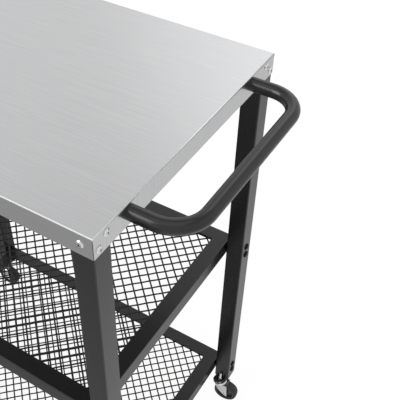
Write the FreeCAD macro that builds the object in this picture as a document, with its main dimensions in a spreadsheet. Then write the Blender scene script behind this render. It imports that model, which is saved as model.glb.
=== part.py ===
import FreeCAD, Part
import Sketcher
import math
import os

# Rolling worktop cart: folded steel top, four tube legs, two mesh shelves, a side handle and four
# swivel casters. Millimetres. Origin on the floor under the middle of the cart with its handle, +Z
# up, the handle at the +X end, the front at -Y.

Vector = FreeCAD.Vector
Z_AXIS = Vector(0, 0, 1)

doc = FreeCAD.newDocument("cart")
sheet = doc.addObject("Spreadsheet::Sheet", "Sizes")
pieces = []


# Sizes are kept as an expression for the document together with its number for the script
def number(value):
    return value.value if isinstance(value, Size) else value


def text_of(value):
    return value.text if isinstance(value, Size) else repr(float(value))


class Size:
    def __init__(self, text, value):
        self.text = text
        self.value = value

    def join(self, other, sign, value):
        return Size("(" + self.text + " " + sign + " " + text_of(other) + ")", value)

    def __add__(self, other):
        return self.join(other, "+", self.value + number(other))

    def __sub__(self, other):
        return self.join(other, "-", self.value - number(other))

    def __mul__(self, other):
        return self.join(other, "*", self.value * number(other))

    def __truediv__(self, other):
        return self.join(other, "/", self.value / number(other))

    def __radd__(self, other):
        return Size("(" + text_of(other) + " + " + self.text + ")", other + self.value)

    def __rsub__(self, other):
        return Size("(" + text_of(other) + " - " + self.text + ")", other - self.value)

    def __neg__(self):
        return self * -1


def size(alias, value, meaning):
    row = str(len(sheet.getUsedCells()) // 2 + 1)
    sheet.set("A" + row, meaning)
    sheet.set("B" + row, str(value))
    sheet.setAlias("B" + row, alias)
    return Size("Sizes." + alias, value)


# Worktop
top_length = size("top_length", 645, "length of the worktop along X")
top_width = size("top_width", 430, "width of the worktop along Y")
cart_height = size("cart_height", 838, "floor to the worktop")
top_gauge = size("top_gauge", 0.8, "sheet of the worktop")
rim_height = size("rim_height", 32, "height of the turned-down rim")
rim_bend = size("rim_bend", 1.6, "outer radius of the fold along the rim")
slit_width = size("slit_width", 0.5, "width of the slit between two rims at a corner")
hat_width = size("hat_width", 30, "width of the stiffener between its feet")
hat_depth = size("hat_depth", 12, "depth of the stiffener")
hat_gauge = size("hat_gauge", 1, "sheet of the stiffener")
hat_foot = size("hat_foot", 11, "width of each foot of the stiffener")
hat_slope = size("hat_slope", 2, "lean of each wall of the stiffener")
hat_end_gap = size("hat_end_gap", 14, "leg to the end of the stiffener, along X")

# Legs and the plates under them
leg_side = size("leg_side", 31, "side of the square leg tube")
leg_gauge = size("leg_gauge", 1.2, "wall of the leg tube")
leg_round = size("leg_round", 2, "outer corner radius of the leg tube")
foot_gauge = size("foot_gauge", 2, "thickness of the caster plates")
tongue_width = size("tongue_width", 15, "width of the tongue of a caster plate")
stem_offset = size("stem_offset", 4.4, "inner leg face to the caster stem axis")

# Shelves
middle_level = size("middle_level", 462, "floor to the top of the middle shelf")
bottom_level = size("bottom_level", 105, "floor to the top of the bottom shelf")
spacer_gauge = size("spacer_gauge", 1.8, "gap between leg and shelf, filled by the spacers")
spacer_width = size("spacer_width", 14, "width of the spacers")
shelf_setback = size("shelf_setback", 8, "worktop edge to the long side of a shelf")
shelf_border = size("shelf_border", 26.4, "width of the flat border round a shelf")
shelf_skirt = size("shelf_skirt", 28, "height of the outer skirt of a shelf")
shelf_lip = size("shelf_lip", 6, "height of the inner lip that carries the net")
shelf_gauge = size("shelf_gauge", 1.2, "sheet of a shelf frame")
shelf_bend = size("shelf_bend", 1.8, "outer radius of the fold along the skirt")
net_wire = size("net_wire", 2, "wire of the shelf nets")
net_pitch = size("net_pitch", 54, "pitch of the shelf nets across the wires")

# Handle
handle_tube = size("handle_tube", 20, "outer diameter of the handle tube")
handle_reach = size("handle_reach", 75.6, "rim to the axis of the grip")
handle_inset = size("handle_inset", 67.1, "side of the worktop to the axis of a handle arm")
handle_bend = size("handle_bend", 44, "bend radius of the handle axis")
handle_drop = size("handle_drop", 14, "worktop surface to the handle axis")

# Fasteners
bolt_head = size("bolt_head", 11, "shelf bolt head diameter")
bolt_rise = size("bolt_rise", 2.6, "height of a shelf bolt head")
bolt_nut = size("bolt_nut", 7, "shelf nut across its flats")
bolt_nut_depth = size("bolt_nut_depth", 3.2, "thickness of a shelf nut")
bolt_first = size("bolt_first", 5.2, "shelf top to the upper bolt")
bolt_second = size("bolt_second", 24.2, "shelf top to the lower bolt")
handle_hex = size("handle_hex", 10, "handle screw head across its flats")
handle_hex_depth = size("handle_hex_depth", 4, "height of a handle screw head")
screw_head = size("screw_head", 9.5, "rim screw head diameter")
screw_rise = size("screw_rise", 2.4, "height of a rim screw head")
screw_high_inset = size("screw_high_inset", 24.5, "worktop corner to the upper end screw")
screw_high_drop = size("screw_high_drop", 9.5, "worktop surface to the upper end screw")
screw_low_inset = size("screw_low_inset", 10, "worktop corner to the lower end screw")
screw_low_drop = size("screw_low_drop", 23, "worktop surface to the lower end screw")
screw_side_inset = size("screw_side_inset", 17.5, "worktop corner to the side screw")
screw_side_drop = size("screw_side_drop", 16, "worktop surface to the side screw")

# Casters
caster_swing = size("caster_swing", 6, "how far the casters are turned from the X axis, in degrees")
wheel_size = size("wheel_size", 50, "wheel diameter")
wheel_headroom = size("wheel_headroom", 5, "top of the wheel to the caster plates")
tyre_width = size("tyre_width", 17.4, "wheel width")
tyre_depth = size("tyre_depth", 5, "radial depth of the tyre")
tyre_shoulder = size("tyre_shoulder", 1.6, "bevel at the edge of the tread")
hub_boss = size("hub_boss", 3.4, "wall of the boss round the wheel bore")
web_inset = size("web_inset", 2, "side of the tyre to the face of the hub")
wheel_play = size("wheel_play", 1.2, "tyre to fork cheek on each side")
boss_play = size("boss_play", 0.4, "boss to fork cheek on each side")
axle_size = size("axle_size", 5, "wheel axle diameter")
axle_end = size("axle_end", 0.8, "how far an axle stands out of a cheek")
caster_trail = size("caster_trail", 15.8, "swivel axis to the wheel axis")
caster_cup = size("caster_cup", 29.4, "diameter of the swivel cup")
cup_depth = size("cup_depth", 2.2, "height of the swivel cup")
cup_bevel = size("cup_bevel", 0.8, "bevel round the top of the swivel cup")
race_gap = size("race_gap", 0.3, "swivel cup to the crown of the fork")
fork_gauge = size("fork_gauge", 1.5, "sheet of the caster forks")
fork_back = size("fork_back", 9, "swivel axis to the back edge of the crown")
fork_lean = size("fork_lean", 2.2, "lean of the front edge of a cheek")
waist_behind = size("waist_behind", 15, "wheel axis to the waist of a cheek, along the fork")
waist_above = size("waist_above", 5, "wheel axis to the waist of a cheek, upwards")
toe_ahead = size("toe_ahead", 5.4, "wheel axis to the front of a cheek's toe")
toe_length = size("toe_length", 4, "length of the toe of a cheek")
toe_under = size("toe_under", 8.3, "wheel axis to the bottom of a cheek")
stem_thread = size("stem_thread", 5, "caster stem diameter")
stem_reach = size("stem_reach", 21.6, "underside of a caster plate to the top of the stem")
stem_collar = size("stem_collar", 1.2, "step from the stem to the collar under the fork")
collar_depth = size("collar_depth", 1.5, "thickness of the collar of a stem")
collar_play = size("collar_play", 0.1, "crown of the fork to the collar of the stem")
stem_nut = size("stem_nut", 8, "stem nut across its flats")
stem_nut_depth = size("stem_nut_depth", 4, "thickness of a stem nut")
turning_play = size("turning_play", 0.16, "turning holes are wider than their pins by this")

doc.recompute()

# Places that several pieces share, along X counted from the middle of the worktop
worktop_shift = (handle_reach + handle_tube / 2) / -2
leg_x = top_length / 2 - top_gauge - leg_side / 2
leg_y = top_width / 2 - top_gauge - leg_side / 2
foot_height = wheel_size + wheel_headroom
leg_foot = foot_height + foot_gauge
shelf_length = top_length - (top_gauge + leg_side + spacer_gauge) * 2
shelf_width = top_width - shelf_setback * 2
window_length = shelf_length - shelf_border * 2
window_width = shelf_width - shelf_border * 2
levels = [middle_level, bottom_level]
stem_y = leg_y - leg_side / 2 - stem_offset
arm_y = top_width / 2 - handle_inset
end_screws = [(screw_high_inset, screw_high_drop), (screw_low_inset, screw_low_drop)]
corners = [("front_right", 1, -1), ("front_left", -1, -1), ("back_right", 1, 1), ("back_left", -1, 1)]


# Small tools for drawing and for finding faces and edges
def bind(thing, name, value):
    if isinstance(value, Size):
        thing.setExpression(name, value.text)
    else:
        setattr(thing, name, value)


def place(thing, x, y, z, turn=0):
    x = x + worktop_shift
    spot = Vector(number(x), number(y), number(z))
    thing.Placement = FreeCAD.Placement(spot, FreeCAD.Rotation(Z_AXIS, number(turn)))
    for letter, value in (("x", x), ("y", y), ("z", z)):
        if isinstance(value, Size):
            thing.setExpression(".Placement.Base." + letter, value.text)


def new_body(label):
    body = doc.addObject("PartDesign::Body", label)
    body.Label = label
    return body


def new_sketch(body, role, forward=0, sideways=0):
    drawing = body.newObject("Sketcher::SketchObject", body.Label + "_sketch")
    planes = [item for item in body.Origin.OriginFeatures if item.Role == role]
    drawing.AttachmentSupport = [(planes[0], "")]
    drawing.MapMode = "FlatFace"
    shift = Vector(number(sideways), 0, number(forward))
    drawing.AttachmentOffset = FreeCAD.Placement(shift, FreeCAD.Rotation())
    for letter, value in (("x", sideways), ("z", forward)):
        if isinstance(value, Size):
            drawing.setExpression(".AttachmentOffset.Base." + letter, value.text)
    return drawing


def pin_point(drawing, geometry, end, x, y):
    for kind, value, axis in (("DistanceX", x, -2), ("DistanceY", y, -1)):
        if abs(number(value)) < 1e-9:
            drawing.addConstraint(Sketcher.Constraint("PointOnObject", geometry, end, axis))
            continue
        rule = Sketcher.Constraint(kind, -1, 1, geometry, end, float(number(value)))
        index = drawing.addConstraint(rule)
        if isinstance(value, Size):
            drawing.setExpression("Constraints[" + str(index) + "]", value.text)


def draw_polygon(drawing, points):
    first = drawing.GeometryCount
    spots = [Vector(number(x), number(y), 0) for x, y in points]
    count = len(points)
    for index in range(count):
        drawing.addGeometry(Part.LineSegment(spots[index], spots[(index + 1) % count]), False)
    for index in range(count):
        following = first + (index + 1) % count
        drawing.addConstraint(Sketcher.Constraint("Coincident", first + index, 2, following, 1))
    for index, (x, y) in enumerate(points):
        pin_point(drawing, first + index, 1, x, y)


def draw_box(drawing, x0, x1, y0, y1):
    draw_polygon(drawing, [(x0, y0), (x1, y0), (x1, y1), (x0, y1)])


def draw_circle(drawing, x, y, diameter):
    centre = Vector(number(x), number(y), 0)
    index = drawing.addGeometry(Part.Circle(centre, Z_AXIS, number(diameter) / 2), False)
    pin_point(drawing, index, 3, x, y)
    rule = drawing.addConstraint(Sketcher.Constraint("Diameter", index, float(number(diameter))))
    if isinstance(diameter, Size):
        drawing.setExpression("Constraints[" + str(rule) + "]", diameter.text)


def hexagon(across_flats):
    reach = across_flats / math.sqrt(3)
    half = across_flats / 2
    return [(reach, 0), (reach / 2, half), (-reach / 2, half), (-reach, 0), (-reach / 2, -half),
            (reach / 2, -half)]


def add_pad(body, drawing, length, backwards=False, both_ways=False):
    pad = body.newObject("PartDesign::Pad", body.Label + "_pad")
    pad.Profile = drawing
    pad.Reversed = backwards
    pad.Midplane = both_ways
    bind(pad, "Length", length)
    doc.recompute()
    return pad


def add_pocket(body, drawing, backwards=False, both_ways=False, depth=None):
    before = body.Shape.Volume
    pocket = body.newObject("PartDesign::Pocket", body.Label + "_pocket")
    pocket.Profile = drawing
    pocket.Reversed = backwards
    pocket.Midplane = both_ways
    if depth is None:
        pocket.Type = "ThroughAll"
    else:
        bind(pocket, "Length", depth)
    doc.recompute()
    if body.Shape.Volume > before - 1e-6:
        raise RuntimeError("a pocket cut nothing in " + body.Label)
    return pocket


def add_turning(body, drawing, axis="H_Axis", angle=360):
    turned = body.newObject("PartDesign::Revolution", body.Label + "_turned")
    turned.Profile = drawing
    turned.ReferenceAxis = (drawing, [axis])
    turned.Angle = angle
    doc.recompute()
    return turned


def names_of(kind, items, test):
    return [kind + str(index + 1) for index, item in enumerate(items) if test(item)]


def add_fillet(body, feature, radius, test):
    edges = names_of("Edge", feature.Shape.Edges, test)
    if not edges:
        raise RuntimeError("no edges to round in " + body.Label)
    fillet = body.newObject("PartDesign::Fillet", body.Label + "_fillet")
    fillet.Base = (feature, edges)
    bind(fillet, "Radius", radius)
    doc.recompute()
    return fillet


def add_shell(body, feature, gauge, test):
    shell = body.newObject("PartDesign::Thickness", body.Label + "_shell")
    shell.Base = (feature, names_of("Face", feature.Shape.Faces, test))
    shell.Reversed = True
    bind(shell, "Value", gauge)
    doc.recompute()
    return shell


def is_upright(edge):
    box = edge.BoundBox
    return box.XLength < 1e-6 and box.YLength < 1e-6


def lies_at(height):
    def test(item):
        return abs(item.BoundBox.ZMin - height) < 1e-6 and abs(item.BoundBox.ZMax - height) < 1e-6
    return test


def keep(label, thing):
    pieces.append((label, thing))


def copies(label, master, spots):
    links = []
    for x, y, z, turn in spots:
        link = doc.addObject("App::Link", label + "_copy")
        link.LinkedObject = master
        place(link, x, y, z, turn)
        links.append(link)
    gathered = doc.addObject("Part::Compound", label)
    gathered.Links = links
    keep(label, gathered)


# Worktop: one folded sheet, its corners slit where two rims meet
def make_top():
    body = new_body("top_panel")
    place(body, 0, 0, cart_height)
    outline = new_sketch(body, "XY_Plane")
    draw_box(outline, -top_length / 2, top_length / 2, -top_width / 2, top_width / 2)
    block = add_pad(body, outline, rim_height, backwards=True)
    rounded = add_fillet(body, block, rim_bend, lies_at(0))
    add_shell(body, rounded, top_gauge, lies_at(-rim_height.value))

    slits = new_sketch(body, "XY_Plane", -rim_bend * 2)
    half_slit = slit_width / 2
    for name, along, across in corners:
        outer_x = (top_length / 2 + 1) * along
        outer_y = (top_width / 2 + 1) * across
        inner_x = (top_length / 2 - top_gauge * 1.5) * along
        inner_y = (top_width / 2 - top_gauge * 1.5) * across
        draw_polygon(slits, [
            (outer_x + half_slit * along, outer_y - half_slit * across),
            (outer_x - half_slit * along, outer_y + half_slit * across),
            (inner_x - half_slit * along, inner_y + half_slit * across),
            (inner_x + half_slit * along, inner_y - half_slit * across)])
    add_pocket(body, slits)
    keep("top_panel", body)


# Stiffener: a hat section welded under the middle of the worktop
def make_stiffener():
    body = new_body("top_stiffener")
    place(body, 0, 0, cart_height - top_gauge)
    profile = new_sketch(body, "YZ_Plane")
    foot = hat_width / 2 + hat_foot
    brow = hat_width / 2
    crown = brow - hat_slope
    inner = crown - hat_gauge * 0.8
    draw_polygon(profile, [
        (-foot, 0), (-brow, 0), (-inner, hat_gauge - hat_depth), (inner, hat_gauge - hat_depth),
        (brow, 0), (foot, 0), (foot, -hat_gauge), (brow + hat_gauge * 0.8, -hat_gauge),
        (crown, -hat_depth), (-crown, -hat_depth), (-brow - hat_gauge * 0.8, -hat_gauge),
        (-foot, -hat_gauge)])
    add_pad(body, profile, top_length - (top_gauge + leg_side + hat_end_gap) * 2, both_ways=True)
    keep("top_stiffener", body)


# Legs: square tubes against the corners of the rim, cut short of the fold's inner curve
def make_leg(name, along, across):
    body = new_body("leg_" + name)
    place(body, leg_x * along, leg_y * across, leg_foot)
    outline = new_sketch(body, "XY_Plane")
    draw_box(outline, -leg_side / 2, leg_side / 2, -leg_side / 2, leg_side / 2)
    bar = add_pad(body, outline, cart_height - rim_bend - leg_foot)
    add_fillet(body, bar, leg_round, is_upright)
    bore = new_sketch(body, "XY_Plane")
    hollow = leg_side / 2 - leg_gauge
    draw_box(bore, -hollow, hollow, -hollow, hollow)
    add_pocket(body, bore, backwards=True)
    keep("leg_" + name, body)


# Caster plates: welded under the legs, each with a round tongue that holds a caster stem
def make_plates():
    plate = new_body("caster_plate")
    reach = leg_side / 2 + stem_offset
    outline = new_sketch(plate, "XY_Plane")
    draw_box(outline, -leg_side / 2 + leg_round, leg_side / 2 - leg_round, -leg_side / 2, leg_side / 2)
    add_pad(plate, outline, foot_gauge)
    bridge = new_sketch(plate, "XY_Plane")
    draw_box(bridge, -tongue_width / 2, tongue_width / 2, -reach, -leg_side / 2 + leg_gauge)
    add_pad(plate, bridge, foot_gauge)
    tongue = new_sketch(plate, "XY_Plane")
    draw_circle(tongue, 0, -reach, tongue_width)
    add_pad(plate, tongue, foot_gauge)
    hole = new_sketch(plate, "XY_Plane")
    draw_circle(hole, 0, -reach, stem_thread)
    add_pocket(plate, hole, backwards=True)
    spots = [(leg_x * along, leg_y * across, foot_height, 90 - 90 * across)
             for name, along, across in corners]
    copies("caster_plates", plate, spots)


# Shelf frames: pressed trays with a skirt, a flat border and a turned-down lip round the window
def make_shelf(name, level):
    body = new_body(name + "_shelf_frame")
    place(body, 0, 0, level)
    outline = new_sketch(body, "XY_Plane")
    draw_box(outline, -shelf_length / 2, shelf_length / 2, -shelf_width / 2, shelf_width / 2)
    block = add_pad(body, outline, shelf_skirt, backwards=True)
    rounded = add_fillet(body, block, shelf_bend, lies_at(0))
    add_shell(body, rounded, shelf_gauge, lies_at(-shelf_skirt.value))

    lip = new_sketch(body, "XY_Plane", -shelf_lip)
    outer_x = window_length / 2 + shelf_gauge
    outer_y = window_width / 2 + shelf_gauge
    draw_box(lip, -outer_x, outer_x, -outer_y, outer_y)
    add_pad(body, lip, shelf_lip - shelf_gauge / 2)
    window = new_sketch(body, "XY_Plane")
    draw_box(window, -window_length / 2, window_length / 2, -window_width / 2, window_width / 2)
    add_pocket(body, window)
    keep(name + "_shelf_frame", body)


# Shelf nets: one flat sheet of crossed wires with a hole per gap, its edge welded under the lip
def clip(points, axis, limit, keep_below):
    kept = []
    for index, end in enumerate(points):
        start = points[index - 1]
        start_in = (start[axis] <= limit) == keep_below
        end_in = (end[axis] <= limit) == keep_below
        if start_in != end_in:
            share = (limit - start[axis]) / (end[axis] - start[axis])
            kept.append((start[0] + share * (end[0] - start[0]), start[1] + share * (end[1] - start[1])))
        if end_in:
            kept.append(end)
    return kept


def polygon_area(points):
    total = 0
    for index, end in enumerate(points):
        start = points[index - 1]
        total += start[0] * end[1] - end[0] * start[1]
    return abs(total) / 2


def closed_wire(points):
    spots = [Vector(x, y, 0) for x, y in points]
    return Part.makePolygon(spots + spots[:1])


def make_net(name, level):
    pitch = sheet.get("net_pitch")
    wire = sheet.get("net_wire")
    half_x = (window_length / 2 + shelf_gauge / 3).value
    half_y = (window_width / 2 + shelf_gauge / 3).value
    step = pitch * math.sqrt(2)
    half_gap = (pitch - wire) / math.sqrt(2)
    rim_x = half_x + wire * 1.6
    rim_y = half_y + wire * 1.6
    rim = closed_wire([(-rim_x, -rim_y), (rim_x, -rim_y), (rim_x, rim_y), (-rim_x, rim_y)])
    gaps = []
    columns = int(half_x / step) + 2
    rows = int(half_y / step) + 2
    for shift in (0, 0.5):
        for column in range(-columns, columns + 1):
            for row in range(-rows, rows + 1):
                x = (column + shift) * step
                y = (row + shift) * step
                gap = [(x + half_gap, y), (x, y + half_gap), (x - half_gap, y), (x, y - half_gap)]
                for axis, limit in ((0, half_x), (1, half_y)):
                    gap = clip(gap, axis, limit, True)
                    gap = clip(gap, axis, -limit, False)
                if len(gap) > 2 and polygon_area(gap) > wire * wire * 3:
                    gaps.append(closed_wire(gap))
    holed = Part.Face([rim] + gaps)
    holed.validate()
    net = doc.addObject("Part::Feature", name + "_shelf_net")
    net.Shape = holed.extrude(Vector(0, 0, -wire))
    place(net, 0, 0, level - shelf_lip)
    print(name, "shelf net has", len(gaps), "gaps")
    keep(name + "_shelf_net", net)


# Handle: a bent bar of tube closed at both ends, so it is solid here; half is drawn and mirrored
def make_handle():
    body = new_body("handle")
    place(body, top_length / 2, 0, cart_height - handle_drop)
    arm = new_sketch(body, "YZ_Plane")
    draw_circle(arm, -arm_y, 0, handle_tube)
    arm_pad = add_pad(body, arm, handle_reach - handle_bend)
    elbow = new_sketch(body, "YZ_Plane", handle_reach - handle_bend, handle_bend - arm_y)
    draw_circle(elbow, -handle_bend, 0, handle_tube)
    elbow_turn = add_turning(body, elbow, "V_Axis", 90)
    grip = new_sketch(body, "XZ_Plane", arm_y - handle_bend)
    draw_circle(grip, handle_reach, 0, handle_tube)
    grip_pad = add_pad(body, grip, arm_y - handle_bend, backwards=True)
    mirror = body.newObject("PartDesign::Mirrored", "handle_mirror")
    mirror.Originals = [arm_pad, elbow_turn, grip_pad]
    mirror.MirrorPlane = ([item for item in body.Origin.OriginFeatures if item.Role == "XZ_Plane"][0], [""])
    body.Tip = mirror
    doc.recompute()
    keep("handle", body)


# Fasteners. Heads and nuts sit on their faces; the shanks hidden inside the tubes are left out.
def make_fasteners():
    handle_screw = new_body("handle_screw")
    outline = new_sketch(handle_screw, "YZ_Plane")
    draw_polygon(outline, hexagon(handle_hex))
    add_pad(handle_screw, outline, handle_hex_depth, backwards=True)
    spots = [(top_length / 2 - top_gauge, arm_y * side, cart_height - handle_drop, 0) for side in (-1, 1)]
    copies("handle_screws", handle_screw, spots)

    rim_screw = new_body("rim_screw")
    profile = new_sketch(rim_screw, "XY_Plane")
    draw_box(profile, 0, screw_rise, 0, screw_head / 2)
    add_turning(rim_screw, profile)
    spots = []
    for name, along, across in corners:
        for inset, drop in end_screws:
            spots.append((top_length * (along / 2), (top_width / 2 - inset) * across, cart_height - drop,
                          90 - 90 * along))
        spots.append(((top_length / 2 - screw_side_inset) * along, top_width * (across / 2),
                      cart_height - screw_side_drop, 90 * across))
    copies("rim_screws", rim_screw, spots)

    bolt = new_body("shelf_bolt")
    profile = new_sketch(bolt, "XY_Plane")
    draw_box(profile, 0, bolt_rise, 0, bolt_head / 2)
    add_turning(bolt, profile)
    nut = new_body("shelf_nut")
    outline = new_sketch(nut, "YZ_Plane")
    draw_polygon(outline, hexagon(bolt_nut))
    add_pad(nut, outline, bolt_nut_depth, backwards=True)
    bolts = []
    nuts = []
    for name, along, across in corners:
        turn = 90 - 90 * along
        for level in levels:
            for drop in (bolt_first, bolt_second):
                height = level - drop
                bolts.append(((leg_x + leg_side / 2) * along, leg_y * across, height, turn))
                nuts.append(((shelf_length / 2 - shelf_gauge) * along, leg_y * across, height, turn))
    copies("shelf_bolts", bolt, bolts)
    copies("shelf_nuts", nut, nuts)

    spacer = new_body("shelf_spacer")
    outline = new_sketch(spacer, "YZ_Plane")
    draw_box(outline, -spacer_width / 2, spacer_width / 2, -shelf_skirt, -shelf_bend * 1.2)
    add_pad(spacer, outline, spacer_gauge, backwards=True)
    spots = []
    for name, along, across in corners:
        for level in levels:
            spots.append(((leg_x - leg_side / 2) * along, leg_y * across, level, 90 - 90 * along))
    copies("shelf_spacers", spacer, spots)


# Casters. Each is drawn with its swivel axis on the origin, the floor at z = 0 and the wheel at +X,
# and is then turned on its stem by the swing.
wheel_radius = wheel_size / 2
cup_under = foot_height - cup_depth
fork_top = cup_under - race_gap
fork_under = fork_top - fork_gauge
fork_gap = tyre_width + wheel_play * 2
fork_width = fork_gap + fork_gauge * 2


def make_caster_stems():
    stem = new_body("caster_stem")
    profile = new_sketch(stem, "XZ_Plane")
    collar = stem_thread / 2 + stem_collar
    under = fork_under - collar_play
    top = foot_height + stem_reach
    draw_polygon(profile, [(0, under - collar_depth), (collar, under - collar_depth), (collar, under),
                           (stem_thread / 2, under), (stem_thread / 2, top), (0, top)])
    add_turning(stem, profile, "V_Axis")

    cup = new_body("caster_cup")
    profile = new_sketch(cup, "XZ_Plane")
    outer = caster_cup / 2
    draw_polygon(profile, [(stem_thread / 2, foot_height), (outer - cup_bevel, foot_height),
                           (outer, foot_height - cup_bevel), (outer, cup_under),
                           (stem_thread / 2, cup_under)])
    add_turning(cup, profile, "V_Axis")

    nut = new_body("stem_nut")
    outline = new_sketch(nut, "XY_Plane")
    draw_polygon(outline, hexagon(stem_nut))
    draw_circle(outline, 0, 0, stem_thread)
    add_pad(nut, outline, stem_nut_depth)

    spots = [(leg_x * along, stem_y * across, 0, 0) for name, along, across in corners]
    nuts = [(leg_x * along, stem_y * across, leg_foot, 0) for name, along, across in corners]
    copies("caster_stems", stem, spots)
    copies("caster_cups", cup, spots)
    copies("stem_nuts", nut, nuts)


def make_fork(name, x, y):
    body = new_body("fork_" + name)
    place(body, x, y, 0, caster_swing)
    cheek = new_sketch(body, "XZ_Plane")
    toe = caster_trail + toe_ahead
    low = wheel_radius - toe_under
    draw_polygon(cheek, [(-fork_back, fork_top), (caster_trail - waist_behind, wheel_radius + waist_above),
                         (toe - toe_length, low), (toe, low), (toe - fork_lean, fork_top)])
    add_pad(body, cheek, fork_width, both_ways=True)
    slot = new_sketch(body, "XZ_Plane")
    draw_box(slot, -caster_cup, caster_trail * 2, 0, fork_under)
    add_pocket(body, slot, both_ways=True, depth=fork_gap)
    axle_hole = new_sketch(body, "XZ_Plane")
    draw_circle(axle_hole, caster_trail, wheel_radius, axle_size)
    add_pocket(body, axle_hole, both_ways=True)
    stem_bore = new_sketch(body, "XY_Plane", foot_height)
    draw_circle(stem_bore, 0, 0, stem_thread + turning_play)
    add_pocket(body, stem_bore)
    keep("fork_" + name, body)


def make_wheel(name, x, y):
    swing = math.radians(number(caster_swing))
    x = x + caster_trail * math.cos(swing)
    y = y + caster_trail * math.sin(swing)
    axle = new_body("axle_" + name)
    place(axle, x, y, wheel_radius, caster_swing)
    rod = new_sketch(axle, "XZ_Plane")
    draw_circle(rod, 0, 0, axle_size)
    add_pad(axle, rod, fork_width + axle_end * 2, both_ways=True)
    keep("axle_" + name, axle)

    hub = new_body("hub_" + name)
    place(hub, x, y, wheel_radius, caster_swing)
    profile = new_sketch(hub, "XY_Plane")
    bore = (axle_size + turning_play) / 2
    rim = wheel_radius - tyre_depth
    boss = fork_gap / 2 - boss_play
    shoulder = bore + hub_boss
    edge = tyre_width / 2 - web_inset
    draw_polygon(profile, [(bore, -boss), (shoulder, -boss), (shoulder, -edge), (rim, -edge),
                           (rim, edge), (shoulder, edge), (shoulder, boss), (bore, boss)])
    add_turning(hub, profile, "V_Axis")
    keep("hub_" + name, hub)

    tyre = new_body("tyre_" + name)
    place(tyre, x, y, wheel_radius, caster_swing)
    profile = new_sketch(tyre, "XY_Plane")
    side = tyre_width / 2
    bevel = wheel_radius - tyre_shoulder
    draw_polygon(profile, [(rim, -side), (bevel, -side), (wheel_radius, tyre_shoulder - side),
                           (wheel_radius, side - tyre_shoulder), (bevel, side), (rim, side)])
    add_turning(tyre, profile, "V_Axis")
    keep("tyre_" + name, tyre)


make_top()
make_stiffener()
for corner_name, corner_along, corner_across in corners:
    make_leg(corner_name, corner_along, corner_across)
make_plates()
for shelf_name, shelf_level in (("middle", middle_level), ("bottom", bottom_level)):
    make_shelf(shelf_name, shelf_level)
    make_net(shelf_name, shelf_level)
make_handle()
make_fasteners()
make_caster_stems()
for corner_name, corner_along, corner_across in corners:
    caster_x = leg_x * corner_along
    caster_y = stem_y * corner_across
    make_fork(corner_name, caster_x, caster_y)
    make_wheel(corner_name, caster_x, caster_y)

doc.recompute()

# Check every object, then write one file per piece
for thing in doc.Objects:
    if "Invalid" in thing.State or "Error" in thing.State:
        raise RuntimeError("object in error: " + thing.Label)
os.makedirs("parts", exist_ok=True)
for file_name, thing in pieces:
    if thing.Shape.isNull() or not thing.Shape.isValid():
        raise RuntimeError("bad shape: " + file_name)
    thing.Shape.exportStep("parts/" + file_name + ".step")
    print(file_name, len(thing.Shape.Solids), round(thing.Shape.Volume, 1))
print(len(pieces), "pieces written")
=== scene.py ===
"""Grill cart with storage: its looks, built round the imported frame. All sizes are in metres."""

import math

import bmesh
import bpy
from mathutils import Matrix, Vector


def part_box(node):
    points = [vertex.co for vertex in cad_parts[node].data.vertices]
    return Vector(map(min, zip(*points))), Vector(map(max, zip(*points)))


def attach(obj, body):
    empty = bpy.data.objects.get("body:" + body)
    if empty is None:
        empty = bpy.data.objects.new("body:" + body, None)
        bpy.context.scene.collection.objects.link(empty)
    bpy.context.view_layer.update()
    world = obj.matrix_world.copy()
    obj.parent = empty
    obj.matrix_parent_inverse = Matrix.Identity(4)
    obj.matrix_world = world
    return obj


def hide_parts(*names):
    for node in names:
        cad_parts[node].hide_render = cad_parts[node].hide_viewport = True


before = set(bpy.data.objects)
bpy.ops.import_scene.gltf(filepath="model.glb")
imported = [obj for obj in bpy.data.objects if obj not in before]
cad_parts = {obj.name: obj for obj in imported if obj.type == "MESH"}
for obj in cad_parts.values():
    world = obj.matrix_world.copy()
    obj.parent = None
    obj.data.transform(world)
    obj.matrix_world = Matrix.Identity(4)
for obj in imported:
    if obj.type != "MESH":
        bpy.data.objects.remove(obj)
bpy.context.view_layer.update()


# Worktop: one sheet of 0.8 mm stainless steel, brushed along its length. Its rims are folded
# down on a press brake, and its corners stay open as slits. The long folds carry a painted
# highlight, a pale colour in place of the light they catch. It is the CAD sheet with its folds
# shaded round, and its grain follows the sheet over them.

class Level:
    """A value in a finish, held by a socket. Sums on it add Math nodes."""

    def __init__(self, mixture, socket):
        self.mixture = mixture
        self.socket = socket

    def math(self, operation, first, second=0.0):
        return self.mixture.node("ShaderNodeMath", {"operation": operation}, {0: first, 1: second})

    def __add__(self, other):
        return self.math("ADD", self, other)

    def __sub__(self, other):
        return self.math("SUBTRACT", self, other)

    def __rsub__(self, other):
        return self.math("SUBTRACT", other, self)

    def __mul__(self, other):
        return self.math("MULTIPLY", self, other)

    def __gt__(self, other):
        return self.math("GREATER_THAN", self, other)

    def __abs__(self):
        return self.math("ABSOLUTE", self)

    __radd__ = __add__
    __rmul__ = __mul__


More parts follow.
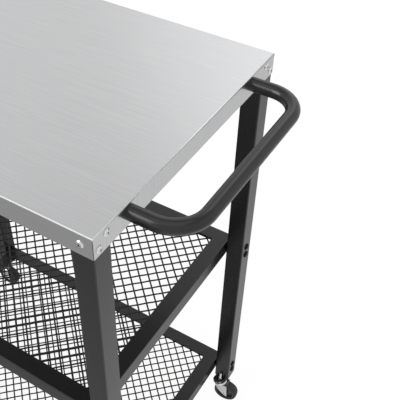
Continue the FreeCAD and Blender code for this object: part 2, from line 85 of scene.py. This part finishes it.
class Mixture:
    """The nodes behind a finish or the room's light."""

    def __init__(self, tree):
        self.tree = tree

    def node(self, kind, settings=None, inputs=None, output=0):
        """Adds a node and returns one of its outputs."""
        made = self.tree.nodes.new(kind)
        for name, value in (settings or {}).items():
            if name == "stops":
                for stop, (position, color) in zip(made.color_ramp.elements, value):
                    stop.position = position
                    stop.color = color
            else:
                setattr(made, name, value)
        for socket, value in (inputs or {}).items():
            if isinstance(value, Level):
                self.tree.links.new(value.socket, made.inputs[socket])
            else:
                made.inputs[socket].default_value = value
        return Level(self, made.outputs[output])

    def beside(self, level, *names):
        """Other outputs of the node that a level comes from."""
        return [Level(self, level.socket.node.outputs[name]) for name in names]

    def parts(self, vector):
        """The X, Y and Z of a vector."""
        x = self.node("ShaderNodeSeparateXYZ", {}, {0: vector})
        return [x] + self.beside(x, "Y", "Z")

    def blend(self, share, first, second):
        """A colour that goes from the first to the second as the share goes from 0 to 1."""
        inputs = {0: share, 6: first, 7: second}
        return self.node("ShaderNodeMix", {"data_type": "RGBA"}, inputs, output=2)

    def ramp(self, level, low, high):
        """A share that goes from 0 to 1 as the level goes from low to high."""
        stops = ((low, (0, 0, 0, 1)), (high, (1, 1, 1, 1)))
        return self.node("ShaderNodeValToRGB", {"stops": stops}, {0: level})


class Finish(Mixture):
    """A material, named as its slot in the record if it has one."""

    def __init__(self, slot, looks):
        self.slot = slot
        self.material = bpy.data.materials.new(slot)
        self.material.use_nodes = True
        super().__init__(self.material.node_tree)
        self.shader = self.tree.nodes["Principled BSDF"]
        self.place = self.node("ShaderNodeTexCoord", output="Object")
        for socket, value in looks.items():
            self.shader.inputs[socket].default_value = value

    def grain(self, per_metre, detail=2.0, place=None):
        """Noise with so many waves to a metre, along each axis or all three alike."""
        waves = per_metre if isinstance(per_metre, tuple) else (per_metre,) * 3
        spread = self.node("ShaderNodeMapping", {}, {0: place or self.place, "Scale": waves})
        return self.node("ShaderNodeTexNoise", {}, {0: spread, "Scale": 1.0, "Detail": detail})

    def feed(self, socket, level):
        """Lets a level set a socket of the shader."""
        self.tree.links.new(level.socket, self.shader.inputs[socket])

    def relief(self, height, depth):
        """Raises the surface by a height between 0 and 1, times the depth."""
        inputs = {"Height": height, "Distance": depth}
        self.feed("Normal", self.node("ShaderNodeBump", {}, inputs, "Normal"))


def add_piece(name, shape, finish, body, *nodes, sharp=35):
    """Makes a bmesh a piece of the cart, which rides on a body and stands for CAD nodes."""
    mesh = bpy.data.meshes.new(name)
    shape.to_mesh(mesh)
    shape.free()
    mesh.polygons.foreach_set("use_smooth", [True] * len(mesh.polygons))
    mesh.set_sharp_from_angle(angle=math.radians(sharp))
    mesh.materials.append(finish.material)
    piece = bpy.data.objects.new(name, mesh)
    bpy.context.scene.collection.objects.link(piece)
    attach(piece, body)
    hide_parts(*nodes)
    flats = piece.modifiers.new("flats", "WEIGHTED_NORMAL")
    flats.keep_sharp = True
    return piece


def copy_of_node(node):
    """The CAD node's own faces, joined where they meet, so that its folds can be shaded round."""
    shape = bmesh.new()
    shape.from_mesh(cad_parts[node].data)
    bmesh.ops.remove_doubles(shape, verts=shape.verts, dist=0.00001)
    return shape


top_low, top_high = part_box("top_panel")
top_middle = (top_low + top_high) / 2
rim_bend = 0.0016
hairlines_per_metre = (9, 2600, 1)
streaks_per_metre = (12, 520, 1)
steel_dark = (0.583, 0.585, 0.593, 1)
steel_light = (0.641, 0.643, 0.651, 1)
fold_painted_highlight = (0.81, 0.81, 0.82, 1)

brushed = Finish("brushed_top", {"Metallic": 1.0})
x, y, z = brushed.parts(brushed.place)
drop = top_high.z - z
on_end_rim = abs(x - top_middle.x) > (top_high.x - top_low.x) / 2 - rim_bend
on_long_fold = (abs(y) > top_high.y - rim_bend) * (1 - (drop > rim_bend))
along_grain = x + drop * on_end_rim
across_grain = abs(y) + drop * (1 - on_end_rim)
unfolded = brushed.node("ShaderNodeCombineXYZ", {}, {0: along_grain, 1: across_grain})
hairlines = brushed.grain(hairlines_per_metre, 3.0, unfolded)
streaks = brushed.grain(streaks_per_metre, 2.0, unfolded)
lines = hairlines * 0.55 + streaks * 0.45
handled = brushed.grain(5, 3.0)
steel_lines = brushed.blend(brushed.ramp(lines, 0.35, 0.65), steel_dark, steel_light)
# The long folds are painted pale in their base colour: a painted highlight.
brushed.feed("Base Color", brushed.blend(on_long_fold, steel_lines, fold_painted_highlight))
brushed.feed("Roughness", lines * 0.1 + handled * 0.04 + 0.17)
brushed.relief(hairlines, 0.000006)
add_piece("worktop_sheet", copy_of_node("top_panel"), brushed, "cart", "top_panel")


# Stiffener: a shallow hat section of plain 1 mm sheet, spot welded under the middle of the
# worktop. It keeps the dull, slightly cloudy skin of cold rolled steel.

plain = Finish("plain_steel", {"Metallic": 1.0, "Base Color": (0.42, 0.42, 0.43, 1)})
plain.feed("Roughness", plain.grain(30, 4.0) * 0.25 + 0.35)
plain.relief(plain.grain((60, 900, 900)), 0.00001)


def coat_node(node, finish):
    """Gives a CAD node its finish."""
    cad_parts[node].material_slots[0].material = finish.material


coat_node("top_stiffener", plain)


# Legs: four lengths of 31 mm square tube with rounded edges, welded shut and powder coated
# in satin black. Each one stands inside a corner of the rim.

corners = ("front_right", "front_left", "back_right", "back_left")


def satin_black(slot, clouds_per_metre, cloud_depth, roughness, peel_per_metre, peel_detail=2.0):
    """A black powder coat with a fine orange peel, glossier in clouds where it has been handled."""
    coat = Finish(slot, {"Base Color": (0.006, 0.006, 0.0062, 1), "IOR": 1.5})
    coat.feed("Roughness", coat.grain(clouds_per_metre, 3.0) * cloud_depth + roughness)
    coat.relief(coat.grain(peel_per_metre, peel_detail), 0.00001)
    return coat


leg_paint = satin_black("leg_paint", (12, 12, 5), 0.12, 0.2, 900, 1.0)
leg_boxes = {}
leg_places = {}
for corner in corners:
    node = "leg_" + corner
    low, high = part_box(node)
    leg_boxes[corner] = (low, high)
    leg_places[corner] = (low + high) / 2
    add_piece("tube_" + corner, copy_of_node(node), leg_paint, "cart", node)


# Foot plates: 2 mm plates that close the bottom of each leg, with a round tongue that holds
# the caster. They are powder coated with the shelf frames.

frame_paint = satin_black("frame_paint", 7, 0.12, 0.22, 800, 1.0)
add_piece("foot_plates", copy_of_node("caster_plates"), frame_paint, "cart", "caster_plates")


# Shelf frames: each is pressed from 1.2 mm sheet, with a skirt folded down outside, a flat
# border and a short lip round the window that the net is welded under.

for shelf in ("middle", "bottom"):
    node = shelf + "_shelf_frame"
    add_piece(shelf + "_shelf_pressing", copy_of_node(node), frame_paint, "cart", node)


# Nets: wire crimped at every crossing and woven on the cross at a 15 mm pitch, cut to the
# window, welded under its lip and powder coated. Every second wire is slid one pitch along,
# so it passes under the wires that its neighbour passes over.

wire_radius = 0.0014
wire_pitch = 0.01502
wire_crimp = 0.00025
wire_facets = 6
rings_per_pitch = 4
weave_starts = {"middle": (0.0062, -0.0045, 0), "bottom": (0.0053, -0.0054, 0)}
wire_coat = Finish("net_wire", {"Base Color": (0.005, 0.005, 0.0052, 1), "Roughness": 0.35,
                                "Specular IOR Level": 0.35})
wire_coat.relief(wire_coat.grain(700), 0.00001)


def whole(shape):
    """All points, edges and faces of a bmesh."""
    return shape.verts[:] + shape.edges[:] + shape.faces[:]


def points_in(geom):
    """The points among the parts that an operator returns."""
    return [part for part in geom if isinstance(part, bmesh.types.BMVert)]


def edges_in(geom):
    """The edges among the parts that an operator returns."""
    return [part for part in geom if isinstance(part, bmesh.types.BMEdge)]


def trim(shape, place, outwards):
    """Cuts off what lies past a plane and returns the edges of the cut."""
    cut = bmesh.ops.bisect_plane(shape, geom=whole(shape), plane_co=place, plane_no=outwards,
                                 clear_outer=True)
    return edges_in(cut["geom_cut"])


def weave_net(low, high, start):
    """A net that fills the box of its CAD node, with its weave off centre by a start."""
    middle = (low + high) / 2
    pitches = math.ceil((high.x - low.x + high.y - low.y) / math.sqrt(8) / wire_pitch) + 2
    net = bmesh.new()
    bmesh.ops.create_cone(net, segments=wire_facets, radius1=wire_radius, radius2=wire_radius,
                          depth=2 * pitches * wire_pitch, matrix=Matrix.Rotation(math.pi / 2, 4, "Y"))
    runs = [e for e in net.edges if abs(e.verts[0].co.x - e.verts[1].co.x) > wire_pitch]
    bmesh.ops.subdivide_edges(net, edges=runs, cuts=2 * pitches * rings_per_pitch - 1)
    for vert in net.verts:
        vert.co.z += wire_crimp * math.cos(math.pi * vert.co.x / wire_pitch)
    wire = whole(net)
    for row in range(-pitches, pitches + 1):
        copied = bmesh.ops.duplicate(net, geom=wire)["geom"]
        slide = Vector((row % 2 * wire_pitch, row * wire_pitch, 0))
        bmesh.ops.translate(net, verts=points_in(copied), vec=slide)
    bmesh.ops.delete(net, geom=wire, context="VERTS")
    crossing = points_in(bmesh.ops.duplicate(net, geom=whole(net))["geom"])
    bmesh.ops.rotate(net, verts=crossing, matrix=Matrix.Rotation(math.pi / 2, 3, "Z"))
    bmesh.ops.translate(net, verts=crossing, vec=(0, wire_pitch, 0))
    bmesh.ops.translate(net, verts=net.verts, vec=start)
    bmesh.ops.rotate(net, verts=net.verts, matrix=Matrix.Rotation(math.pi / 4, 3, "Z"))
    height = high.z - wire_radius - wire_crimp
    bmesh.ops.translate(net, verts=net.verts, vec=(middle.x, middle.y, height))
    for side, outwards in ((low, (-1, 0, 0)), (low, (0, -1, 0)), (high, (1, 0, 0)), (high, (0, 1, 0))):
        trim(net, side, outwards)
    return net


for shelf, start in weave_starts.items():
    node = shelf + "_shelf_net"
    add_piece(shelf + "_woven_net", weave_net(*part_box(node), start), wire_coat, "cart", node, sharp=80)


# Handle: one 20 mm steel tube with two bends, powder coated smooth satin black. Its ends
# butt against the end rim and are screwed from inside it.

tube_radius = 0.01
tube_facets = 40
bend_radius = 0.044
bend_steps = 14
handle_low, handle_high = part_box("handle")
handle_z = (handle_low.z + handle_high.z) / 2
arm_y = handle_high.y - tube_radius
bend_x = handle_high.x - tube_radius - bend_radius
handle_coat = satin_black("handle_coat", 25, 0.08, 0.2, 500)


def extrude_on(shape, edges, move):
    """Extrudes a ring of edges and moves the new ring, which it returns."""
    geom = bmesh.ops.extrude_edge_only(shape, edges=edges)["geom"]
    bmesh.ops.translate(shape, verts=points_in(geom), vec=move)
    return edges_in(geom)


def bend_on(shape, edges, centre):
    """Turns a ring of edges a quarter round an upright line and returns the new ring."""
    bent = bmesh.ops.spin(shape, geom=edges, cent=centre, axis=(0, 0, 1), angle=math.pi / 2,
                          steps=bend_steps)
    return edges_in(bent["geom_last"])


tube = bmesh.new()
near_end = Matrix.Translation((handle_low.x, -arm_y, handle_z))
bmesh.ops.create_circle(tube, segments=tube_facets, radius=tube_radius, cap_ends=False,
                        matrix=near_end @ Matrix.Rotation(math.pi / 2, 4, "Y"))
ring = extrude_on(tube, tube.edges[:], (bend_x - handle_low.x, 0, 0))
ring = bend_on(tube, ring, (bend_x, -arm_y + bend_radius, handle_z))
ring = extrude_on(tube, ring, (0, 2 * (arm_y - bend_radius), 0))
ring = bend_on(tube, ring, (bend_x, arm_y - bend_radius, handle_z))
ring = extrude_on(tube, ring, (handle_low.x - bend_x, 0, 0))
bmesh.ops.recalc_face_normals(tube, faces=tube.faces)
add_piece("bent_tube", tube, handle_coat, "cart", "handle", sharp=60)


# Rim screws: chrome plated pan heads, driven through the rim into the legs. Two sit one above
# the other on each end of the rim, and one on each side. Their cross recess is painted dark
# as shade.

screw_radius = 0.0052
screw_height = 0.0024
end_screws = ((0.0245, 0.0095), (0.01, 0.023))
side_screw = (0.0175, 0.016)
first_turn = 0.4
turn_between = 1.1
recess_tip = screw_radius * 0.4
recess_mouth = screw_radius * 0.8
recess_length = screw_height * 1.4
recess_middle = screw_height * 1.2
recess_narrowing = 0.26
chrome = Finish("screw_chrome", {"Metallic": 1.0, "Base Color": (0.74, 0.74, 0.75, 1)})
chrome.feed("Roughness", chrome.grain(300) * 0.1 + 0.06)
# A near-black material painted into the cross recess as shade.
recess_painted_shade = Finish("screw_chrome", {"Metallic": 0.4, "Base Color": (0.03, 0.03, 0.03, 1)})
recess_painted_shade.feed("Roughness", recess_painted_shade.grain(900) * 0.2 + 0.4)


def turned(profile, steps, matrix=Matrix()):
    """A shape turned round Z from points (radius, height)."""
    shape = bmesh.new()
    verts = [shape.verts.new((radius, 0, height)) for radius, height in profile]
    edges = [shape.edges.new(pair) for pair in zip(verts, verts[1:])]
    bmesh.ops.spin(shape, geom=verts + edges, cent=(0, 0, 0), axis=(0, 0, 1),
                   angle=2 * math.pi, steps=steps, use_merge=True)
    bmesh.ops.remove_doubles(shape, verts=shape.verts, dist=0.000001)
    bmesh.ops.recalc_face_normals(shape, faces=shape.faces)
    shape.transform(matrix)
    return shape


def prism(sides, radius, depth, matrix, end_radius=None):
    """A closed prism with its middle at a place. A second radius makes it taper."""
    shape = bmesh.new()
    bmesh.ops.create_cone(shape, segments=sides, radius1=radius, radius2=end_radius or radius,
                          depth=depth, cap_ends=True, matrix=matrix)
    return shape


def cut_by(shape, tool, operation="DIFFERENCE"):
    """The shape after a tool, which is also a bmesh, has been taken from it."""
    objects = []
    for part in (shape, tool):
        mesh = bpy.data.meshes.new("blank")
        part.to_mesh(mesh)
        part.free()
        objects.append(bpy.data.objects.new("blank", mesh))
        bpy.context.scene.collection.objects.link(objects[-1])
    blank, cutter = objects
    boolean = blank.modifiers.new("cut", "BOOLEAN")
    boolean.object = cutter
    boolean.operation = operation
    boolean.solver = "EXACT"
    boolean.material_mode = "INDEX"
    result = bmesh.new()
    result.from_object(blank, bpy.context.evaluated_depsgraph_get())
    for part in objects:
        bpy.data.meshes.remove(part.data)
    return result


def many(shape, matrices):
    """Copies of a shape, one at each place, in one bmesh."""
    mesh = bpy.data.meshes.new("pattern")
    shape.to_mesh(mesh)
    shape.free()
    group = bmesh.new()
    for matrix in matrices:
        before = len(group.verts)
        group.from_mesh(mesh)
        group.verts.ensure_lookup_table()
        bmesh.ops.transform(group, matrix=matrix, verts=group.verts[before:])
    bpy.data.meshes.remove(mesh)
    return group


def domed_head(radius, height, steps=24):
    """A head turned from bar, with its dome towards +Z and its flat face at Z 0."""
    upright = 0.3
    profile = [(0, 0), (radius, 0), (radius, height * upright)]
    for share in (0.3, 0.55, 0.75, 0.9):
        angle = share * math.pi / 2
        rise = upright + (1 - upright) * math.sin(angle)
        profile.append((radius * math.cos(angle * 0.98), height * rise))
    profile.append((0, height))
    return turned(profile, steps)


pan_head = domed_head(screw_radius, screw_height)
for turn in (0, math.pi / 2):
    blade = prism(4, recess_tip, recess_length, Matrix.Rotation(math.pi / 4, 4, "Z"), recess_mouth)
    bmesh.ops.scale(blade, verts=blade.verts, vec=(1, recess_narrowing, 1))
    bmesh.ops.translate(blade, verts=blade.verts, vec=(0, 0, recess_middle))
    bmesh.ops.rotate(blade, verts=blade.verts, matrix=Matrix.Rotation(turn, 3, "Z"))
    # The recess faces take the second material, the painted shade.
    for face in blade.faces:
        face.material_index = 1
    pan_head = cut_by(pan_head, blade)

screw_places = []
for end in (1, -1):
    face_x = top_high.x if end > 0 else top_low.x
    outwards = Matrix.Rotation(end * math.pi / 2, 4, "Y")
    for side in (1, -1):
        for inset, under in end_screws:
            place = Vector((face_x, side * (top_high.y - inset), top_high.z - under))
            screw_places.append(Matrix.Translation(place) @ outwards)
        inset, under = side_screw
        place = Vector((face_x - end * inset, side * top_high.y, top_high.z - under))
        screw_places.append(Matrix.Translation(place) @ Matrix.Rotation(-side * math.pi / 2, 4, "X"))
driven = []
for number, place in enumerate(screw_places):
    driven.append(place @ Matrix.Rotation(first_turn + turn_between * number, 4, "Z"))
screws = add_piece("pan_head_screws", many(pan_head, driven), chrome, "cart", "rim_screws")
screws.data.materials.append(recess_painted_shade.material)
coat_node("handle_screws", chrome)


# Shelf bolts: black button heads with a hexagon socket, two through each leg at each shelf.
# They pass a moulded spacer and end in nuts inside the skirt.

bolt_radius = 0.0062
bolt_height = 0.0028
bolt_drops = (0.0052, 0.0242)
key_radius = 0.0017
key_depth = 0.003
bolt_black = Finish("black_bolt", {"Base Color": (0.006, 0.006, 0.0062, 1), "Roughness": 0.5,
                                   "Specular IOR Level": 0.15})
bolt_black.relief(bolt_black.grain(900), 0.00002)
spacer_plastic = Finish("spacer_plastic", {"Base Color": (0.02, 0.02, 0.02, 1), "Roughness": 0.6})
spacer_plastic.relief(spacer_plastic.grain(1500), 0.00002)

key = prism(6, key_radius, key_depth, Matrix.Translation((0, 0, bolt_height)))
button_head = cut_by(domed_head(bolt_radius, bolt_height), key)
bolt_places = []
for corner in corners:
    low, high = leg_boxes[corner]
    end = 1 if corner.endswith("right") else -1
    face_x = high.x if end > 0 else low.x
    outwards = Matrix.Rotation(end * math.pi / 2, 4, "Y")
    for shelf in ("middle", "bottom"):
        border_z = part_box(shelf + "_shelf_frame")[1].z
        for bolt_drop in bolt_drops:
            place = Vector((face_x, leg_places[corner].y, border_z - bolt_drop))
            bolt_places.append(Matrix.Translation(place) @ outwards)
add_piece("button_head_bolts", many(button_head, bolt_places), bolt_black, "cart", "shelf_bolts")
coat_node("shelf_nuts", bolt_black)
coat_node("shelf_spacers", spacer_plastic)


# Swivel cups: pressed and chrome plated. Each one sits under its foot plate and holds a ring
# of balls. Its top is rounded over, and its underside is dished inside a flat edge.

cup_radius = 0.0147
crown_radius = 0.0104
crown_drop = 0.0017
edge_radius = 0.0144
edge_rise = 0.0001
edge_inside = 0.0126
dish_radius = 0.0122
dish_depth = 0.0008
stem_hole = 0.0026
round_steps = 48
cup_low, cup_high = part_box("caster_cups")
caster_chrome = Finish("caster_chrome", {"Metallic": 1.0, "Base Color": (0.76, 0.76, 0.77, 1)})
caster_chrome.feed("Roughness", caster_chrome.grain(120, 3.0) * 0.1 + 0.07)
stem_places = {}
for corner in corners:
    side = -1 if corner.startswith("front") else 1
    stem_places[corner] = Vector((leg_places[corner].x, side * (cup_high.y - cup_radius), 0))
at_stems = [Matrix.Translation(stem_places[corner]) for corner in corners]


def shoulder(start, end, steps=4):
    """The points of a quarter ellipse that leaves one point flat and reaches another upright."""
    points = []
    for step in range(steps + 1):
        angle = step / steps * math.pi / 2
        points.append((start[0] + (end[0] - start[0]) * math.sin(angle),
                       start[1] + (end[1] - start[1]) * (1 - math.cos(angle))))
    return points


cup_profile = [(stem_hole, cup_high.z)]
cup_profile += shoulder((crown_radius, cup_high.z), (cup_radius, cup_high.z - crown_drop))
cup_profile += [(cup_radius, cup_low.z + edge_rise), (edge_radius, cup_low.z), (edge_inside, cup_low.z),
                (dish_radius, cup_low.z + dish_depth), (stem_hole, cup_low.z + dish_depth),
                (stem_hole, cup_high.z)]
cups = many(turned(cup_profile, round_steps), at_stems)
add_piece("swivel_cups", cups, caster_chrome, "cart", "caster_cups")


# Stems and nuts: a 5 mm threaded stem rises from each cup through the tongue of its foot
# plate, and a chamfered nut holds it on top. Both are zinc plated.

thread_pitch = 0.0008
thread_depth = 0.0004
thread_steps = 16
stem_radius = 0.0025
nut_half = 0.004
nut_corner = nut_half / math.cos(math.pi / 6)
nut_chamfer = 0.0006
nut_crown = nut_corner * 0.84
past_nut = nut_corner * 1.2
through_all = 0.1
stem_low, stem_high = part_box("caster_stems")
nut_low, nut_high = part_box("stem_nuts")
zinc = Finish("zinc", {"Metallic": 1.0})
spangle = zinc.grain(250, 3.0)
zinc.feed("Base Color", zinc.blend(spangle, (0.6, 0.6, 0.62, 1), (0.82, 0.82, 0.84, 1)))
zinc.feed("Roughness", spangle * 0.12 + 0.12)

turns = math.ceil((stem_high.z - stem_low.z) / thread_pitch) + 1
crest = [(stem_radius - thread_depth, 0), (stem_radius, thread_pitch * 0.45),
         (stem_radius, thread_pitch * 0.55), (stem_radius - thread_depth, thread_pitch)]
thread = bmesh.new()
thread_low = stem_low.z - thread_pitch
verts = [thread.verts.new((radius, 0, thread_low + height)) for radius, height in crest]
edges = [thread.edges.new(pair) for pair in zip(verts, verts[1:])]
bmesh.ops.spin(thread, geom=verts + edges, cent=(0, 0, 0), axis=(0, 0, 1),
               dvec=(0, 0, thread_pitch / thread_steps), angle=2 * math.pi * turns,
               steps=thread_steps * turns)
bmesh.ops.remove_doubles(thread, verts=thread.verts, dist=0.00002)
for level, outwards in ((stem_low.z, (0, 0, -1)), (stem_high.z, (0, 0, 1))):
    bmesh.ops.contextual_create(thread, geom=trim(thread, (0, 0, level), outwards))
bmesh.ops.recalc_face_normals(thread, faces=thread.faces)
add_piece("threaded_stems", many(thread, at_stems), zinc, "cart", "caster_stems", sharp=25)

chamfer = [(0, nut_low.z), (past_nut, nut_low.z), (nut_corner, nut_high.z - nut_chamfer),
           (nut_crown, nut_high.z), (0, nut_high.z)]
nut_middle = Matrix.Translation((0, 0, (nut_low.z + nut_high.z) / 2))
nut = prism(6, nut_corner, nut_high.z - nut_low.z, nut_middle)
nut = cut_by(nut, turned(chamfer, round_steps), "INTERSECT")
nut = cut_by(nut, prism(32, stem_radius, through_all, Matrix.Translation((0, 0, nut_low.z))))
add_piece("chamfered_nuts", many(nut, at_stems), zinc, "cart", "stem_nuts", sharp=25)


# Caster forks: pressed from 1.5 mm sheet and chrome plated, with the crown folded down into
# two cheeks that narrow to the axle. The axle is a rivet with both ends headed over. The
# casters stand a little askew, as they stop when the cart is pushed into place.

caster_swing = Matrix.Rotation(math.radians(6), 4, "Z")
wheel_centre = Vector((0.0158, 0, 0.025))
fork_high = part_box("fork_front_right")[1].z
fork_gauge = 0.0015
fork_half = 0.0114
crown_back = -0.009
crown_fold = 0.002
cheek_lean = 0.0022
toe_ahead = 0.0054
toe_under = 0.0083
toe_width = 0.004
toe_round = 0.0015
waist_behind = 0.015
waist_above = 0.005
waist_round = 0.007


def pressed_fork():
    """The fork round its own swivel line, trailing towards +X."""
    skin = fork_high - fork_gauge / 2
    width = fork_half - fork_gauge / 2
    toe_x = wheel_centre.x + toe_ahead
    toe_z = wheel_centre.z - toe_under
    waist_z = wheel_centre.z + waist_above
    fork = bmesh.new()
    back_in = fork.verts.new((crown_back, 0, skin))
    back_out = fork.verts.new((crown_back, width, skin))
    front_out = fork.verts.new((toe_x - cheek_lean, width, skin))
    front_in = fork.verts.new((toe_x - cheek_lean, 0, skin))
    toe_front = fork.verts.new((toe_x, width, toe_z))
    toe_back = fork.verts.new((toe_x - toe_width, width, toe_z))
    waist = fork.verts.new((wheel_centre.x - waist_behind, width, waist_z))
    fork.faces.new((back_in, back_out, front_out, front_in))
    fork.faces.new((back_out, waist, toe_back, toe_front, front_out))
    fold = [e for e in fork.edges if back_out in e.verts and front_out in e.verts]
    bmesh.ops.bevel(fork, geom=fold, affect="EDGES", offset=crown_fold, segments=4, profile=0.5,
                    material=-1)
    toes = [v for v in fork.verts if v.co.z < wheel_centre.z]
    bmesh.ops.bevel(fork, geom=toes, affect="VERTICES", offset=toe_round, segments=3, profile=0.5,
                    material=-1)
    waists = [v for v in fork.verts if abs(v.co.z - waist_z) < 0.0001]
    bmesh.ops.bevel(fork, geom=waists, affect="VERTICES", offset=waist_round, segments=4, profile=0.5,
                    material=-1)
    bmesh.ops.mirror(fork, geom=whole(fork), axis="Y", merge_dist=0.00001)
    bmesh.ops.remove_doubles(fork, verts=fork.verts, dist=0.00001)
    bmesh.ops.recalc_face_normals(fork, faces=fork.faces)
    bmesh.ops.solidify(fork, geom=fork.faces[:], thickness=fork_gauge)
    bmesh.ops.recalc_face_normals(fork, faces=fork.faces)
    return fork


for corner in corners:
    at_stem = [Matrix.Translation(stem_places[corner]) @ caster_swing]
    body = "caster_" + corner
    add_piece("pressed_fork_" + corner, many(pressed_fork(), at_stem), caster_chrome, body,
              "fork_" + corner)
    coat_node("axle_" + corner, zinc)


# Wheels: a black rubber tyre with a crowned tread, moulded on a plastic hub whose web is
# dished and has a boss for the axle.

wheel_radius = wheel_centre.z
tread_edge = 0.0225
tyre_half = 0.0087
tyre_steps = 64
seat_radius = 0.02
rim_inside = 0.0175
rim_half = tyre_half - 0.0004
web_outside = (0.0165, -0.0035)
web_inside = (0.0056, -0.004)
boss_radius = 0.0052
boss_half = 0.0095
axle_hole = 0.00258
tyre_rubber = Finish("tyre_rubber", {"Base Color": (0.02, 0.02, 0.021, 1)})
tyre_rubber.feed("Roughness", tyre_rubber.grain((90, 260, 90), 4.0) * 0.3 + 0.5)
tyre_rubber.relief(tyre_rubber.grain(1600), 0.00003)
hub_plastic = Finish("hub_plastic", {"Base Color": (0.03, 0.03, 0.031, 1), "Roughness": 0.4})
hub_plastic.relief(hub_plastic.grain(1200), 0.00002)


def both_sides(side):
    """A closed outline from one side of a wheel and its mirror image."""
    return side + [(radius, -height) for radius, height in reversed(side)] + side[:1]


tyre_side = [(seat_radius, -tyre_half)] + shoulder((tread_edge, -tyre_half), (wheel_radius, 0))
hub_side = [(axle_hole, -boss_half), (boss_radius, -boss_half), web_inside, web_outside,
            (rim_inside, -rim_half), (seat_radius, -rim_half)]
for corner in corners:
    at_axle = Matrix.Translation(stem_places[corner]) @ caster_swing @ Matrix.Translation(wheel_centre)
    wheel_place = at_axle @ Matrix.Rotation(math.pi / 2, 4, "X")
    body = "wheel_" + corner
    tyre = turned(both_sides(tyre_side), tyre_steps, wheel_place)
    hub = turned(both_sides(hub_side), round_steps, wheel_place)
    add_piece("rubber_" + corner, tyre, tyre_rubber, body, "tyre_" + corner)
    add_piece("core_" + corner, hub, hub_plastic, body, "hub_" + corner)


# Floor: a matt white floor that runs out of sight and keeps the cart's shadow. Steel and black
# coats mirror it with a painted shade under the cart and to its left, and paler to its right.

def grey(shade):
    """A colour without hue."""
    return (shade, shade, shade, 1)


floor_half = 6
mirrored_floor_shade = grey(0.41)
floor_right = grey(0.87)
floor_far = grey(0.74)
floor_seen = grey(1.04)
floor_shape = bmesh.new()
bmesh.ops.create_grid(floor_shape, x_segments=2, y_segments=2, size=floor_half)
floor_mesh = bpy.data.meshes.new("floor")
floor_shape.to_mesh(floor_mesh)
floor_shape.free()
floor = bpy.data.objects.new("floor", floor_mesh)
bpy.context.scene.collection.objects.link(floor)
matt_white = Finish("pale_floor", {"Base Color": grey(0.8), "Roughness": 1.0,
                                   "Specular IOR Level": 0.0})
floor_mesh.materials.append(matt_white.material)
seen = matt_white.node("ShaderNodeLightPath", output="Is Camera Ray")
glossy, through = matt_white.beside(seen, "Is Glossy Ray", "Is Transmission Ray")
across, deep = matt_white.parts(matt_white.node("ShaderNodeNewGeometry", output="Position"))[:2]
# What reflections see of the floor is painted: darker under the cart and to its left, as shade.
far_off = matt_white.ramp(across * 0.5 + deep * 0.5, 0.2, 1.0)
at_right = matt_white.ramp(across, 0.2, 0.38)
right_side = matt_white.blend(far_off, floor_right, floor_far)
mirrored = matt_white.blend(at_right, mirrored_floor_shade, right_side)
glow_color = matt_white.blend(seen, mirrored, floor_seen)
glow = matt_white.node("ShaderNodeEmission", {}, {"Color": glow_color})
lit = Level(matt_white, matt_white.shader.outputs[0])
share = seen * 0.9 + (glossy + through)
surface = matt_white.node("ShaderNodeMixShader", {}, {0: share, 1: lit, 2: glow})
surface_out = matt_white.tree.nodes["Material Output"].inputs["Surface"]
matt_white.tree.links.new(surface.socket, surface_out)


# Room: pale light from all round that is dimmer straight above, a window and a skylight behind
# the cart, two soft lamps, and the camera at the photograph's viewing angle.

walls_shade = grey(0.905)
ceiling_shade = grey(0.565)
window_shade = grey(1.345)
skylight_shade = grey(1.9)
world = bpy.data.worlds.new("pale_room")
world.use_nodes = True
bpy.context.scene.world = world
room = Mixture(world.node_tree)
seen = room.node("ShaderNodeLightPath", output="Is Camera Ray")
aside, away, above = room.parts(room.node("ShaderNodeTexCoord", output="Generated"))
walls = room.blend(room.ramp(above, 0.58, 0.9), walls_shade, ceiling_shade)
at_window = room.ramp(aside * -0.25 + away * 0.85 + above * 0.46, 0.945, 1.0)
at_skylight = room.ramp(aside * -0.05 + away * 0.71 + above * 0.7, 0.97, 0.985)
daylight = room.blend(at_skylight, room.blend(at_window, walls, window_shade), skylight_shade)
room_color = room.blend(seen, daylight, grey(1))
world.node_tree.links.new(room_color.socket, world.node_tree.nodes["Background"].inputs["Color"])


def add_softbox(name, place, aim, size, power):
    """A square soft lamp that faces a point."""
    lamp = bpy.data.lights.new(name, "AREA")
    lamp.size = size
    lamp.energy = power
    holder = bpy.data.objects.new(name, lamp)
    holder.location = place
    holder.rotation_euler = (Vector(aim) - Vector(place)).to_track_quat("-Z", "Y").to_euler()
    bpy.context.scene.collection.objects.link(holder)


add_softbox("front_softbox", (-1.3, -1.6, 2.0), (0.1, 0, 0.7), 1.6, 34)
add_softbox("overhead_softbox", (0.3, -0.6, 3.0), (0.1, 0, 0.6), 2.2, 9)

lens = bpy.data.cameras.new("camera")
lens.lens = 63.0
lens.sensor_width = 36.0
lens.shift_x = 0.0975
lens.shift_y = -0.0026
camera = bpy.data.objects.new("camera", lens)
camera.location = (0.6044, -0.5964, 1.3545)
camera.rotation_euler = (math.radians(47.206), 0, math.radians(32.331))
bpy.context.scene.collection.objects.link(camera)
bpy.context.scene.camera = camera
bpy.context.scene.view_settings.view_transform = "Standard"
